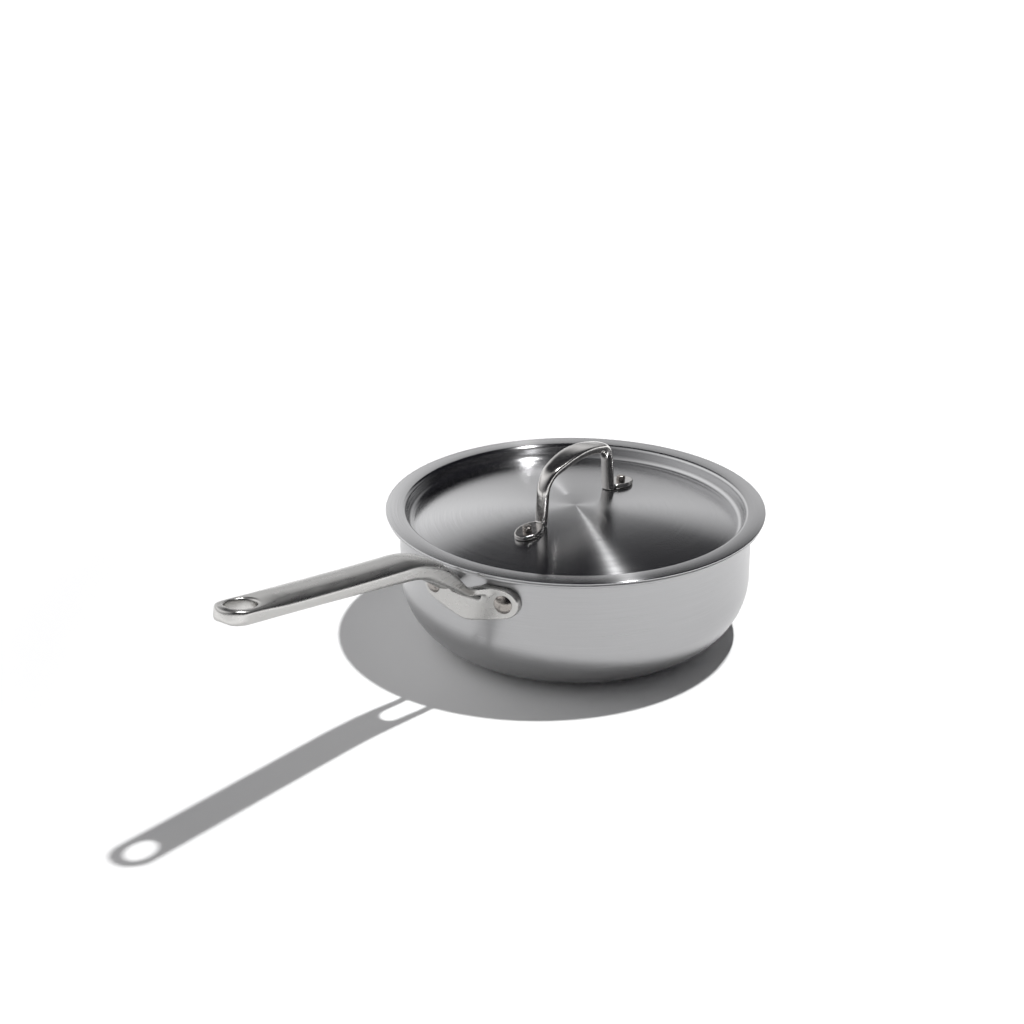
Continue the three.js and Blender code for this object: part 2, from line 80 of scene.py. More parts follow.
def arc(x, y, radius, start, end, steps):
    """Points on a circular arc between two angles in degrees."""
    turns = [math.radians(start + (end - start) * i / steps) for i in range(steps + 1)]
    return [(x + radius * math.cos(t), y + radius * math.sin(t)) for t in turns]


def finish_edit(piece):
    """Welds the piece, turns its faces outwards and shades it smooth except across sharp edges."""
    bpy.ops.mesh.select_all(action="SELECT")
    bpy.ops.mesh.remove_doubles(threshold=WELD * MM)
    bpy.ops.mesh.normals_make_consistent(inside=False)
    bpy.ops.object.mode_set(mode="OBJECT")
    bpy.ops.object.shade_smooth_by_angle(angle=SMOOTH_ANGLE)
    return piece


def turned(name, profile, steps):
    """A line of radius and height points, extruded point by point and spun round the axis."""
    bpy.ops.object.select_all(action="DESELECT")
    bpy.ops.mesh.primitive_plane_add(size=MM)
    piece = bpy.context.active_object
    piece.name = name
    bpy.ops.object.mode_set(mode="EDIT")
    bpy.ops.mesh.merge(type="CENTER")
    spots = [Vector((r * MM, 0, z * MM)) for r, z in profile]
    bpy.ops.transform.translate(value=spots[0])
    for before, after in zip(spots, spots[1:]):
        bpy.ops.mesh.extrude_region_move(TRANSFORM_OT_translate={"value": after - before})
    bpy.ops.mesh.select_all(action="SELECT")
    bpy.ops.mesh.spin(steps=steps, angle=2 * math.pi, center=(0, 0, 0), axis=(0, 0, 1))
    return finish_edit(piece)


def brushed_round(name, colour, tone, roughness, line_mm, anisotropy, bump):
    """Stainless sheet brushed on a lathe: fine lines run round the axis, so highlights spread
    across them into soft fans. Real lines lie under 0.1 mm apart, too fine to show in the
    picture, so they are drawn line_mm apart."""
    material = bpy.data.materials.new(name)
    material.use_nodes = True
    tree = material.node_tree
    shader = tree.nodes["Principled BSDF"]
    place = add_node(tree, "ShaderNodeTexCoord").outputs["Object"]
    level = add_node(tree, "ShaderNodeVectorMath", {1: (1, 1, 0)}, {0: place},
                     operation="MULTIPLY").outputs[0]
    radius = add_node(tree, "ShaderNodeVectorMath", None, {0: level}, operation="LENGTH")
    around = add_node(tree, "ShaderNodeVectorMath", None, {0: level}, operation="NORMALIZE")
    height = add_node(tree, "ShaderNodeSeparateXYZ", None, {0: place})
    travel = add_node(tree, "ShaderNodeMath", None,
                      {0: radius.outputs["Value"], 1: height.outputs["Z"]}, operation="ADD")
    lines = add_node(tree, "ShaderNodeMath", {1: 1 / (line_mm * MM)}, {0: travel.outputs[0]},
                     operation="MULTIPLY")
    across = add_node(tree, "ShaderNodeCombineXYZ", None, {"Z": lines.outputs[0]})
    along = add_node(tree, "ShaderNodeVectorMath", {"Scale": LINE_CHANGES}, {0: around.outputs[0]},
                     operation="SCALE")
    spot = add_node(tree, "ShaderNodeVectorMath", None,
                    {0: along.outputs[0], 1: across.outputs[0]}, operation="ADD")
    grain = add_node(tree, "ShaderNodeTexNoise", {"Scale": 1.0, "Detail": 4.0, "Roughness": 0.65},
                     {"Vector": spot.outputs[0]}).outputs["Fac"]
    rough = add_node(tree, "ShaderNodeMapRange",
                     {**GRAIN_SPAN, "To Min": roughness[0], "To Max": roughness[1]},
                     {"Value": grain})
    tree.links.new(rough.outputs[0], shader.inputs["Roughness"])
    shade = add_node(tree, "ShaderNodeMapRange",
                     {**GRAIN_SPAN, "To Min": 1 - tone, "To Max": 1 + tone}, {"Value": grain})
    steel = add_node(tree, "ShaderNodeVectorMath", {0: linear(colour)[:3]},
                     {"Scale": shade.outputs[0]}, operation="SCALE")
    tree.links.new(steel.outputs[0], shader.inputs["Base Color"])
    scratch = add_node(tree, "ShaderNodeBump", {"Strength": bump, "Distance": SCRATCH_DEPTH * MM},
                       {"Height": grain})
    tree.links.new(scratch.outputs[0], shader.inputs["Normal"])
    round_axis = add_node(tree, "ShaderNodeTangent", direction_type="RADIAL", axis="Z")
    tree.links.new(round_axis.outputs[0], shader.inputs["Tangent"])
    shader.inputs["Metallic"].default_value = 1.0
    shader.inputs["Anisotropic"].default_value = anisotropy
    shader.inputs["Anisotropic Rotation"].default_value = ACROSS_LINES
    return material


pan_inner = PAN_RADIUS - PAN_SHEET
lip_middle = PAN_RADIUS + LIP_BEND
lip_radius = lip_middle + LIP_LEDGE
wall_top = PAN_HEIGHT - PAN_SHEET - LIP_BEND
corner_middle = PAN_RADIUS - PAN_CORNER
lip_round = PAN_SHEET / 2
pan_profile = [(0, 0)]
pan_profile += arc(corner_middle, PAN_CORNER, PAN_CORNER, -90, 0, CORNER_STEPS)
pan_profile += arc(lip_middle, wall_top, LIP_BEND, 180, 90, LIP_STEPS)
pan_profile += arc(lip_radius - lip_round, PAN_HEIGHT - lip_round, lip_round, -90, 90, LIP_STEPS)
pan_profile += arc(lip_middle, wall_top, LIP_BEND + PAN_SHEET, 90, 180, LIP_STEPS)
pan_profile += arc(corner_middle, PAN_CORNER, PAN_CORNER - PAN_SHEET, 0, -90, CORNER_STEPS)
pan_profile += [(0, PAN_SHEET)]
pan = turned("saucier_pan", pan_profile, SPIN_STEPS)

# A plain brush: soft, broad highlights with a faint change of tone from line to line
pan.data.materials.append(brushed_round(
    "brushed_stainless_pan", "#ADADAE", tone=0.05, roughness=(0.27, 0.35), line_mm=0.5,
    anisotropy=0.7, bump=0.08))
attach(pan, "pan_assembly")
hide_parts("pan_body")


# Long handle: one stainless casting, tumbled to a satin finish. A bar with a
# crowned top, flat and thin at the tip round its hanging hole, divides into two
# square arms, which drop to a plate that is bent round the wall and riveted to it.
SEAT_GAP = 0.3
HANDLE_REACH = 328.5
BAR_WIDTH = 23.4
BAR_THICKNESS = 13.0
BAR_TIP_THICKNESS = 10.8
BAR_CROWN = 2.4
BAR_SHOULDER = 7.0
BAR_KEEL = 2.5
SHOULDER_END = 20
BAR_RISE = math.radians(9.95)
TIP_SINK = 1.8
TIP_CROWN = 0.6
TIP_SHOULDER = 2.2
TIP_FLAT_RUN = 30.75
TIP_BLUNTNESS = 0.4
TIP_LAST_ANGLE = 3
HOLE_LENGTH = 20.5
HOLE_WIDTH = 16.0
HOLE_TO_TIP = 15.0
HOLE_EDGE = 0.9
ARM_WIDTH = 4.5
ARM_HEIGHT = 5.5
ARM_EDGE = 1.7
ARM_CROWN = 0.1
ARM_RISE = math.radians(42.23)
ARM_RUN = 13.4
ELBOW_BEND = 10.0
FOOT_BEND = 20.0
FORK_REACH = 35.0
FORK_ROOT = 6.0
FORK_BEND = 70.0
WINDOW_REACH = 35.5
PLATE_THICKNESS = 4.4
PLATE_DIP = math.radians(14)
PLATE_TIP_ROUND = 5.0
PAD_RADIUS = 9.7
SLOT_HEIGHT = 4.2
RIVET_ANGLE = math.radians(13)
RIVET_HEIGHT = 67.9
SHANK_BORE = 3.3
CUT_REACH = 60.0
DRILL_REACH = 20.0
HANDLE_VOXEL = 0.47
HANDLE_SMOOTHING = 20
SLOPE_STEP = 1
RUN_STEPS = 24
EDGE_STEPS = 8
CROWN_STEPS = 6
ELBOW_STEPS = 16
FORK_STEPS = 48
BAR_STEPS = 20
TIP_STEPS = 16
WINDOW_STEPS = 12
HOLE_STEPS = 48
RIM_STEPS = 6
POINT_STEPS = 4
PAD_STEPS = 24
SLOT_STEPS = 8
DRILL_STEPS = 24


def apply_modifier(piece, kind, **settings):
    """Adds one modifier to the piece and applies it."""
    bpy.ops.object.select_all(action="DESELECT")
    piece.select_set(True)
    bpy.context.view_layer.objects.active = piece
    modifier = piece.modifiers.new(kind.title(), kind)
    for name, value in settings.items():
        setattr(modifier, name, value)
    bpy.ops.object.modifier_apply(modifier=modifier.name)
    return piece


def cut(piece, cutter, operation="DIFFERENCE"):
    """Cuts the piece with another shape, which is then thrown away."""
    apply_modifier(piece, "BOOLEAN", object=cutter, operation=operation, solver="EXACT")
    bpy.data.objects.remove(cutter)
    return piece


def bore(radius, place):
    """A long round drill, standing where a rivet goes through."""
    drill = turned("drill", [(0, -DRILL_REACH), (radius, -DRILL_REACH), (radius, DRILL_REACH),
                             (0, DRILL_REACH)], DRILL_STEPS)
    drill.data.transform(place)
    return drill


def wall_rivet_place(side):
    """Where a handle rivet stands: its axis runs straight out of the pan's wall."""
    turn = Matrix.Rotation(side * RIVET_ANGLE, 4, "Z")
    out = Matrix.Translation((PAN_RADIUS * MM, 0, RIVET_HEIGHT * MM))
    return turn @ out @ Matrix.Rotation(math.pi / 2, 4, "Y")


def lofted(name, rings):
    """A filled ring of points, extruded cap by cap through further rings of the same count."""
    bpy.ops.object.select_all(action="DESELECT")
    count = len(rings[0])
    bpy.ops.mesh.primitive_circle_add(vertices=count, radius=MM, fill_type="NGON")
    piece = bpy.context.active_object
    piece.name = name
    for vertex, spot in zip(piece.data.vertices, rings[0]):
        vertex.co = spot * MM
    bpy.ops.object.mode_set(mode="EDIT")
    bpy.ops.mesh.select_all(action="SELECT")
    for ring in rings[1:]:
        bpy.ops.mesh.extrude_region_move()
        shape = bmesh.from_edit_mesh(piece.data)
        shape.verts.ensure_lookup_table()
        for vertex, spot in zip(shape.verts[-count:], ring):
            vertex.co = spot * MM
    bmesh.update_edit_mesh(piece.data)
    return finish_edit(piece)


def rounded_run(corners, radii):
    """A line through corners, each inner corner rounded with its own radius."""
    run = [Vector(corners[0])]
    for before, corner, after, radius in zip(corners, corners[1:], corners[2:], radii):
        corner = Vector(corner)
        back = (Vector(before) - corner).normalized()
        ahead = (Vector(after) - corner).normalized()
        half_turn = (math.pi - back.angle(ahead)) / 2
        trim = radius * math.tan(half_turn)
        middle = corner + (back + ahead).normalized() * radius / math.cos(half_turn)
        start, end = corner + back * trim - middle, corner + ahead * trim - middle
        run += [middle + start.lerp(end, i / RUN_STEPS).normalized() * radius
                for i in range(RUN_STEPS + 1)]
    return run + [Vector(corners[-1])]


def height_at(run, x):
    """The height of a run at a distance from the axis."""
    for a, b in zip(run, run[1:]):
        if x <= b.x:
            return a.y + (b.y - a.y) * (x - a.x) / (b.x - a.x)
    return run[-1].y


def crowned_section(half_width, half_height, crown, shoulder, keel):
    """A bar's section: a crowned top, round shoulders that end in an edge, and round lower edges."""
    ball = (half_width ** 2 + crown ** 2) / (2 * crown)
    middle = half_height - ball
    reach = half_width - shoulder * math.cos(math.radians(SHOULDER_END))
    lift = math.sqrt((ball - shoulder) ** 2 - reach ** 2)
    turn = math.degrees(math.atan2(lift, reach))
    half = arc(half_width - keel, keel - half_height, keel, -90, 0, EDGE_STEPS)
    half += arc(reach, middle + lift, shoulder, SHOULDER_END, turn, EDGE_STEPS)
    half += arc(0, middle, ball, turn, 90, CROWN_STEPS)[1:]
    return half + [(-x, z) for x, z in reversed(half[:-1])]


def laid_across(section, spot, along):
    """A section stood square to a path: its width stays level."""
    side = Vector((0, 0, 1)).cross(along).normalized()
    up = along.cross(side).normalized()
    return [spot + side * x + up * y for x, y in section]


def ease(x, low, high):
    """A smooth step from 0 at low to 1 at high."""
    t = min(max((x - low) / (high - low), 0), 1)
    return t * t * (3 - 2 * t)


def mix(a, b, t):
    """The value a share t of the way from a to b."""
    return a + (b - a) * t


def joined(name, pieces):
    """Several pieces as one object."""
    bpy.ops.object.select_all(action="DESELECT")
    for piece in pieces:
        piece.select_set(True)
    bpy.context.view_layer.objects.active = pieces[0]
    bpy.ops.object.join()
    pieces[0].name = name
    return pieces[0]


def cast(piece, voxel_mm, smoothing):
    """Runs joined shapes together as in one mould, with softened edges."""
    apply_modifier(piece, "REMESH", mode="VOXEL", voxel_size=voxel_mm * MM, adaptivity=0.0)
    apply_modifier(piece, "SMOOTH", factor=0.5, iterations=smoothing)
    bpy.ops.object.shade_smooth()
    return piece


wall_face = PAN_RADIUS + SEAT_GAP
plate_face = wall_face + PLATE_THICKNESS
arm_height = RIVET_HEIGHT + PAD_RADIUS - ARM_HEIGHT / 2
arm_foot = PAN_RADIUS + ARM_RUN
fork_corner = arm_foot + FORK_REACH
fork_height = arm_height + FORK_REACH * math.tan(ARM_RISE)
spine_end = HANDLE_REACH + BAR_WIDTH
spine = rounded_run(
    [(PAN_RADIUS - CUT_REACH, arm_height), (arm_foot, arm_height), (fork_corner, fork_height),
     (spine_end, fork_height + (spine_end - fork_corner) * math.tan(BAR_RISE))],
    [FOOT_BEND, FORK_BEND])
bar_half = BAR_WIDTH / 2
window_half = bar_half - ARM_WIDTH
window_end = PAN_RADIUS + WINDOW_REACH - window_half
elbow_side = bar_half + ELBOW_BEND
elbow_out = math.sqrt((plate_face + ELBOW_BEND) ** 2 - elbow_side ** 2)
elbow_end = -180 + math.degrees(math.atan2(elbow_side, elbow_out))
bend_end = fork_corner + FORK_BEND * math.tan((ARM_RISE - BAR_RISE) / 2)
tip_middle = HANDLE_REACH - bar_half
hole_x = HANDLE_REACH - HOLE_TO_TIP


def depth_at(x):
    """The handle's depth: thin arms, deepest at the fork, thinner again towards the tip."""
    tip = min(max((x - bend_end) / (tip_middle - bend_end), 0), 1)
    bar_depth = mix(BAR_TIP_THICKNESS, BAR_THICKNESS, (1 - tip) ** 3)
    return mix(ARM_HEIGHT, bar_depth, ease(x, arm_foot, fork_corner - FORK_ROOT))


# Half widths along the handle: out of the wall round the elbows, over the fork, down the bar
elbow = arc(elbow_out, elbow_side, ELBOW_BEND, elbow_end, -90, ELBOW_STEPS)
stations = [(PAN_RADIUS - PAN_SHEET, elbow[0][1]), *elbow]
stations += [(mix(elbow_out, bend_end, i / FORK_STEPS), bar_half)
             for i in range(1, FORK_STEPS + 1)]
stations += [(mix(bend_end, tip_middle, i / BAR_STEPS), bar_half)
             for i in range(1, BAR_STEPS + 1)]
stations += arc(tip_middle, 0, bar_half, 90, TIP_LAST_ANGLE, TIP_STEPS)[1:]
handle_rings = []
for x, half_width in stations:
    full = ease(x, window_end - window_half, fork_corner + FORK_ROOT)
    flat = ease(x, hole_x - TIP_FLAT_RUN, hole_x)
    nose = (depth_at(x) - flat * TIP_SINK) / 2
    past_nose = max(0, x - HANDLE_REACH + nose) / nose
    flatten = mix(TIP_BLUNTNESS, 1, math.sqrt(1 - past_nose ** 2))
    narrow, widen = min(1, half_width / bar_half), max(0, half_width - bar_half)
    ring = crowned_section(bar_half, nose,
                           mix(mix(ARM_CROWN, BAR_CROWN, full), TIP_CROWN, flat),
                           mix(mix(ARM_EDGE, BAR_SHOULDER, full), TIP_SHOULDER, flat),
                           mix(ARM_EDGE, BAR_KEEL, full))
    ring = [(y * narrow + math.copysign(widen, y), z * flatten) for y, z in ring]
    climb = height_at(spine, x + SLOPE_STEP) - height_at(spine, x - SLOPE_STEP)
    spot = Vector((x, 0, height_at(spine, x) - flat * TIP_SINK / 2))
    handle_rings.append(laid_across(ring, spot, Vector((2 * SLOPE_STEP, 0, climb))))
bar = lofted("bar", handle_rings)

# The window between the arms, round at the bar's end and following the elbows at the wall
inner_elbow = ELBOW_BEND + ARM_WIDTH
inner_end = -180 + math.degrees(math.asin((elbow_side - bar_half) / inner_elbow))
half_window = [(PAN_RADIUS - CUT_REACH, bar_half)]
half_window += arc(elbow_out, elbow_side, inner_elbow, inner_end, -90, WINDOW_STEPS)
half_window += arc(window_end, 0, window_half, 90, 0, WINDOW_STEPS)
window = half_window + [(x, -y) for x, y in reversed(half_window[:-1])]
low, high = arm_height - CUT_REACH, arm_height + CUT_REACH
cut(bar, lofted("window", [[Vector((x, y, z)) for x, y in window] for z in (low, high)]))

# The oval hanging hole, square through the bar, its rim rounded above and below
hole_spot = Vector((hole_x, 0, height_at(spine, hole_x) - TIP_SINK / 2))
hole_turn = Euler((0, -BAR_RISE, 0)).to_matrix()
hole_top = (depth_at(hole_x) - TIP_SINK) / 2
rim = [(HOLE_EDGE - dx, hole_top - HOLE_EDGE + dz)
       for dx, dz in arc(0, 0, HOLE_EDGE, 0, 90, RIM_STEPS)]
rim = [(grow, -z) for grow, z in reversed(rim)] + rim
hole_rings = []
for grow, z in [(HOLE_EDGE, -DRILL_REACH), *rim, (HOLE_EDGE, DRILL_REACH)]:
    oval = [(x * (HOLE_LENGTH / 2 + grow), y * (HOLE_WIDTH / 2 + grow))
            for x, y in arc(0, 0, 1, 0, 360, HOLE_STEPS)[:-1]]
    hole_rings.append([hole_spot + hole_turn @ Vector((x, y, z)) for x, y in oval])
cut(bar, lofted("hole", hole_rings))

# The riveted plate: two round pads and a shallow pointed lower edge, bent round the wall
pad_side = (wall_face + PLATE_THICKNESS / 2) * math.sin(RIVET_ANGLE)
dip_x = pad_side + PAD_RADIUS * math.sin(PLATE_DIP)
dip_z = RIVET_HEIGHT - PAD_RADIUS * math.cos(PLATE_DIP)
round_z = dip_z - (dip_x - PLATE_TIP_ROUND) * math.tan(PLATE_DIP)
point_z = dip_z - dip_x * math.tan(PLATE_DIP)
half_plate = [(PLATE_TIP_ROUND * t, mix(point_z, round_z, (1 + t * t) / 2))
              for t in (i / POINT_STEPS for i in range(POINT_STEPS + 1))]
half_plate += arc(pad_side, RIVET_HEIGHT, PAD_RADIUS, math.degrees(PLATE_DIP) - 90, 90, PAD_STEPS)
outline = half_plate + [(-y, z) for y, z in reversed(half_plate[1:])]
near, far = PAN_RADIUS / 2, plate_face + CUT_REACH
plate = lofted("plate", [[Vector((x, y, z)) for y, z in outline] for x in (near, far)])
low, high = RIVET_HEIGHT - CUT_REACH, RIVET_HEIGHT + CUT_REACH
cut(plate, turned("band", [(wall_face, low), (plate_face, low), (plate_face, high),
                           (wall_face, high), (wall_face, low)], SPIN_STEPS), "INTERSECT")

# The open middle of the plate, which leaves a slot under each arm
slot_floor = arm_height - ARM_HEIGHT / 2 - SLOT_HEIGHT
slot_round = SLOT_HEIGHT / 2
half_notch = arc(bar_half - slot_round, slot_floor + slot_round, slot_round, -90, 0, SLOT_STEPS)
half_notch += [(bar_half, arm_height + CUT_REACH)]
notch = half_notch + [(-y, z) for y, z in reversed(half_notch)]
cut(plate, lofted("notch", [[Vector((x, y, z)) for y, z in notch] for x in (near, far)]))
cut(bar, turned("wall", [(0, low), (wall_face, low), (wall_face, high), (0, high)], SPIN_STEPS))
for side in (1, -1):
    cut(plate, bore(SHANK_BORE, wall_rivet_place(side)))
handle = cast(joined("forked_handle", [bar, plate]), HANDLE_VOXEL, HANDLE_SMOOTHING)


def cast_stainless(name, colour, roughness, mark_mm, bump, stretch=(1, 1, 1)):
    """Cast stainless steel, tumbled or buffed: an even sheen with faint, uneven rub marks.
    Real marks are a few hundredths of a millimetre wide, too fine to show in the picture, so
    they are drawn mark_mm wide."""
    material = bpy.data.materials.new(name)
    material.use_nodes = True
    tree = material.node_tree
    shader = tree.nodes["Principled BSDF"]
    place = add_node(tree, "ShaderNodeTexCoord").outputs["Object"]
    rub = add_node(tree, "ShaderNodeMapping", {"Scale": stretch}, {"Vector": place})
    marks = add_node(tree, "ShaderNodeTexNoise",
                     {"Scale": 1 / (mark_mm * MM), "Detail": 3.0, "Roughness": 0.6},
                     {"Vector": rub.outputs[0]}).outputs["Fac"]
    rough = add_node(tree, "ShaderNodeMapRange",
                     {**GRAIN_SPAN, "To Min": roughness[0], "To Max": roughness[1]},
                     {"Value": marks})
    tree.links.new(rough.outputs[0], shader.inputs["Roughness"])
    peel = add_node(tree, "ShaderNodeBump", {"Strength": bump, "Distance": SCRATCH_DEPTH * MM},
                    {"Height": marks})
    tree.links.new(peel.outputs[0], shader.inputs["Normal"])
    shader.inputs["Base Color"].default_value = linear(colour)
    shader.inputs["Metallic"].default_value = 1.0
    return material


# Satin: a soft sheen that follows the crown, with faint marks drawn out along the bar
handle.data.materials.append(cast_stainless(
    "satin_cast_stainless", "#B9B8B6", roughness=(0.26, 0.31), mark_mm=3.0, bump=0.03,
    stretch=(0.1, 1, 1)))
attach(handle, "pan_assembly")
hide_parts("long_handle")


# Handle rivets: solid stainless rivets driven through plate and wall, with a
# buffed round head outside and a low dome inside the pan.
RIVET_SHANK = 3.0
RIVET_HEAD = 5.9
RIVET_DOME = 2.8
RIVET_TAIL_DOME = 1.6
RIVET_HEAD_STEPS = 14
RIVET_TAIL_STEPS = 10
RIVET_SPIN_STEPS = 48


def dome(radius, rise, base, outward, steps):
    """A low dome's profile from its edge to its top, above or below a level."""
    ball = (radius ** 2 + rise ** 2) / (2 * rise)
    spread = math.degrees(math.asin(radius / ball))
    middle = base + outward * (rise - ball)
    return arc(0, middle, ball, outward * (90 - spread), outward * 90, steps)


inside_flat = math.sqrt(pan_inner ** 2 - RIVET_HEAD ** 2) - PAN_RADIUS - SEAT_GAP
outside_flat = plate_face - PAN_RADIUS + SEAT_GAP / 2
rivet_profile = dome(RIVET_HEAD, RIVET_TAIL_DOME, inside_flat, -1, RIVET_TAIL_STEPS)[::-1]
rivet_profile += [(RIVET_SHANK, inside_flat), (RIVET_SHANK, outside_flat)]
rivet_profile += dome(RIVET_HEAD, RIVET_DOME, outside_flat, 1, RIVET_HEAD_STEPS)

# Buffed heads: darker than the casting, with a small round glint
rivet_steel = cast_stainless("buffed_rivet_stainless", "#9C9793", roughness=(0.22, 0.3),
                             mark_mm=0.8, bump=0.08)
for name, side in {"left": 1, "right": -1}.items():
    rivet = turned("pan_rivet_" + name, rivet_profile, RIVET_SPIN_STEPS)
    rivet.data.transform(wall_rivet_place(side))
    rivet.data.materials.append(rivet_steel)
    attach(rivet, "pan_assembly")
    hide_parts("handle_rivet_" + name)


# Lid: one thin stainless sheet, spun so that its flange rests on the lip, its
# plug drops into the rim and its middle rises as a low dome behind a round
# groove. It is finely brushed round the axis.
LID_SHEET = 1.2
LID_OVERHANG = 1.0
LID_PLUG_GAP = 1.0
LID_SHOULDER = 2.6
LID_RECESS = 9.8
LID_GROOVE = 4.4
LID_DOME_RISE = 9.7
LID_SHOULDER_STEPS = 12
LID_GROOVE_STEPS = 18
LID_DOME_STEPS = 40
LID_EDGE_STEPS = 8
lid_top = PAN_HEIGHT + SEAT_GAP + LID_SHEET
lid_radius = lip_radius + LID_OVERHANG
plug_radius = pan_inner - LID_PLUG_GAP - LID_SHEET
groove_edge = plug_radius - LID_GROOVE
dome_slope = 2 * math.atan(LID_DOME_RISE / groove_edge)
dome_edge = groove_edge - LID_GROOVE * math.sin(dome_slope)
dome_radius = dome_edge / math.sin(dome_slope)
groove_height = lid_top - LID_RECESS + LID_GROOVE
dome_middle = groove_height - (LID_GROOVE + dome_radius) * math.cos(dome_slope)
dome_top = dome_middle + dome_radius
slope = math.degrees(dome_slope)


def lid_face(under):
    """The lid's face from shoulder to middle, at a depth under its upper face."""
    face = arc(plug_radius + LID_SHOULDER, lid_top - LID_SHOULDER, LID_SHOULDER - under, 90, 180,
               LID_SHOULDER_STEPS)
    face += arc(groove_edge, groove_height, LID_GROOVE + under, 0, -90 - slope, LID_GROOVE_STEPS)
    return face + arc(0, dome_middle, dome_radius - under, 90 - slope, 90, LID_DOME_STEPS)[1:]


edge_round = LID_SHEET / 2
lid_profile = lid_face(LID_SHEET)[::-1]
lid_profile += arc(lid_radius - edge_round, lid_top - edge_round, edge_round, -90, 90,
                   LID_EDGE_STEPS)
lid_profile += lid_face(0)
lid = turned("inset_lid", lid_profile, SPIN_STEPS)

# A finer brush than the pan's: glossier, so that the lamp draws narrow fans out of the middle
lid.data.materials.append(brushed_round(
    "brushed_stainless_lid", "#BDBDBE", tone=0.06, roughness=(0.155, 0.19), line_mm=0.4,
    anisotropy=1.0, bump=0.04))
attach(lid, "lid_assembly")
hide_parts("lid")


# Lid handle: one small stainless casting, buffed to a near mirror. An arched
# grip, flat above and round below, bends over two knees into round legs that
# end in flat oval feet on the dome.
LID_RIVET_REACH = 52.8
LID_SHANK_BORE = 2.3
FOOT_LENGTH = 24.0
FOOT_WIDTH = 15.5
FOOT_THICKNESS = 2.8
LEG_REACH = 42.2
LEG_LEAN = 4.0
LEG_WIDTH = 8.8
LEG_THICKNESS = 6.6
GRIP_RISE = 39.0
GRIP_WIDTH = 14.6
GRIP_THICKNESS = 7.8
GRIP_EDGE = 1.2
LEG_SQUARENESS = 2.0
GRIP_SQUARENESS = 4.0
GRIP_SLOPE = math.radians(12)
GRIP_BEND = 90.0
KNEE_BEND = 18.0
GRIP_VOXEL = 0.4
GRIP_SMOOTHING = 10
GRIP_STEPS = 24
FOOT_STEPS = 64
rivet_tilt = math.asin(LID_RIVET_REACH / dome_radius)


def lid_rivet_place(side):
    """Where a lid rivet stands: its axis runs square out of the dome."""
    to_middle = Matrix.Translation((0, 0, dome_middle * MM))
    tilt = Matrix.Rotation(side * rivet_tilt, 4, "Y")
    return to_middle @ tilt @ Matrix.Translation((0, 0, dome_radius * MM))


knee_reach = LEG_REACH - LEG_LEAN
peak = dome_top + GRIP_RISE + GRIP_BEND * (1 / math.cos(GRIP_SLOPE) - 1)
knee_height = peak - knee_reach * math.tan(GRIP_SLOPE)
leg_foot = dome_top - LID_RECESS
grip_run = rounded_run(
    [(-LEG_REACH, leg_foot), (-knee_reach, knee_height), (0, peak),
     (knee_reach, knee_height), (LEG_REACH, leg_foot)],
    [KNEE_BEND, GRIP_BEND, KNEE_BEND])
grip_rings = []
for i, point in enumerate(grip_run):
    before, after = grip_run[max(i - 1, 0)], grip_run[min(i + 1, len(grip_run) - 1)]
    middle = max(0, 1 - (point.x / knee_reach) ** 2)
    width = mix(LEG_WIDTH, GRIP_WIDTH, middle) / 2
    depth = mix(LEG_THICKNESS, GRIP_THICKNESS, middle)
    upper = mix(LEG_THICKNESS / 2, GRIP_EDGE, middle)
    power = 2 / mix(LEG_SQUARENESS, GRIP_SQUARENESS, middle)
    section = [(math.copysign(abs(x) ** power, x) * width, abs(y) ** power * upper - upper)
               for x, y in arc(0, 0, 1, 0, 180, GRIP_STEPS)]
    section += [(x * width, (depth - upper) * y - upper)
                for x, y in arc(0, 0, 1, 180, 360, GRIP_STEPS)[1:-1]]
    along = Vector((after.x - before.x, 0, after.y - before.y))
    grip_rings.append(laid_across(section, Vector((point.x, 0, point.y)), along))
arch = lofted("arch", grip_rings)

# The feet: ovals that reach from the leg's far face out past the rivet
feet = []
for side in (1, -1):
    inward = (LID_RIVET_REACH - LEG_REACH + LEG_THICKNESS / 2 - FOOT_LENGTH / 2) * side
    oval = [(x * FOOT_LENGTH / 2 - inward, y * FOOT_WIDTH / 2)
            for x, y in arc(0, 0, 1, 0, 360, FOOT_STEPS)[:-1]]
    low, high = SEAT_GAP - FOOT_THICKNESS, SEAT_GAP + FOOT_THICKNESS
    foot = lofted("foot", [[Vector((x, y, z)) for x, y in oval] for z in (low, high)])
    foot.data.transform(lid_rivet_place(side))
    feet.append(foot)
grip = joined("arched_grip", [arch, *feet])

# Run together first, then trimmed to the dome and bored, so that the feet sit flat on the lid
apply_modifier(grip, "REMESH", mode="VOXEL", voxel_size=GRIP_VOXEL * MM, adaptivity=0.0)
under = [(0, dome_top - CUT_REACH), (dome_edge, dome_top - CUT_REACH)]
under += arc(0, dome_middle, dome_radius + SEAT_GAP, 90 - slope, 90, LID_DOME_STEPS)
cut(grip, turned("dome", under, SPIN_STEPS))
for side in (1, -1):
    cut(grip, bore(LID_SHANK_BORE, lid_rivet_place(side)))
cast(grip, GRIP_VOXEL, GRIP_SMOOTHING)

# Polished: clear reflections of the room, a little blurred by fine buffing marks
grip.data.materials.append(cast_stainless(
    "polished_cast_stainless", "#BFBDBB", roughness=(0.17, 0.23), mark_mm=1.5, bump=0.05))
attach(grip, "lid_assembly")
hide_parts("lid_handle")


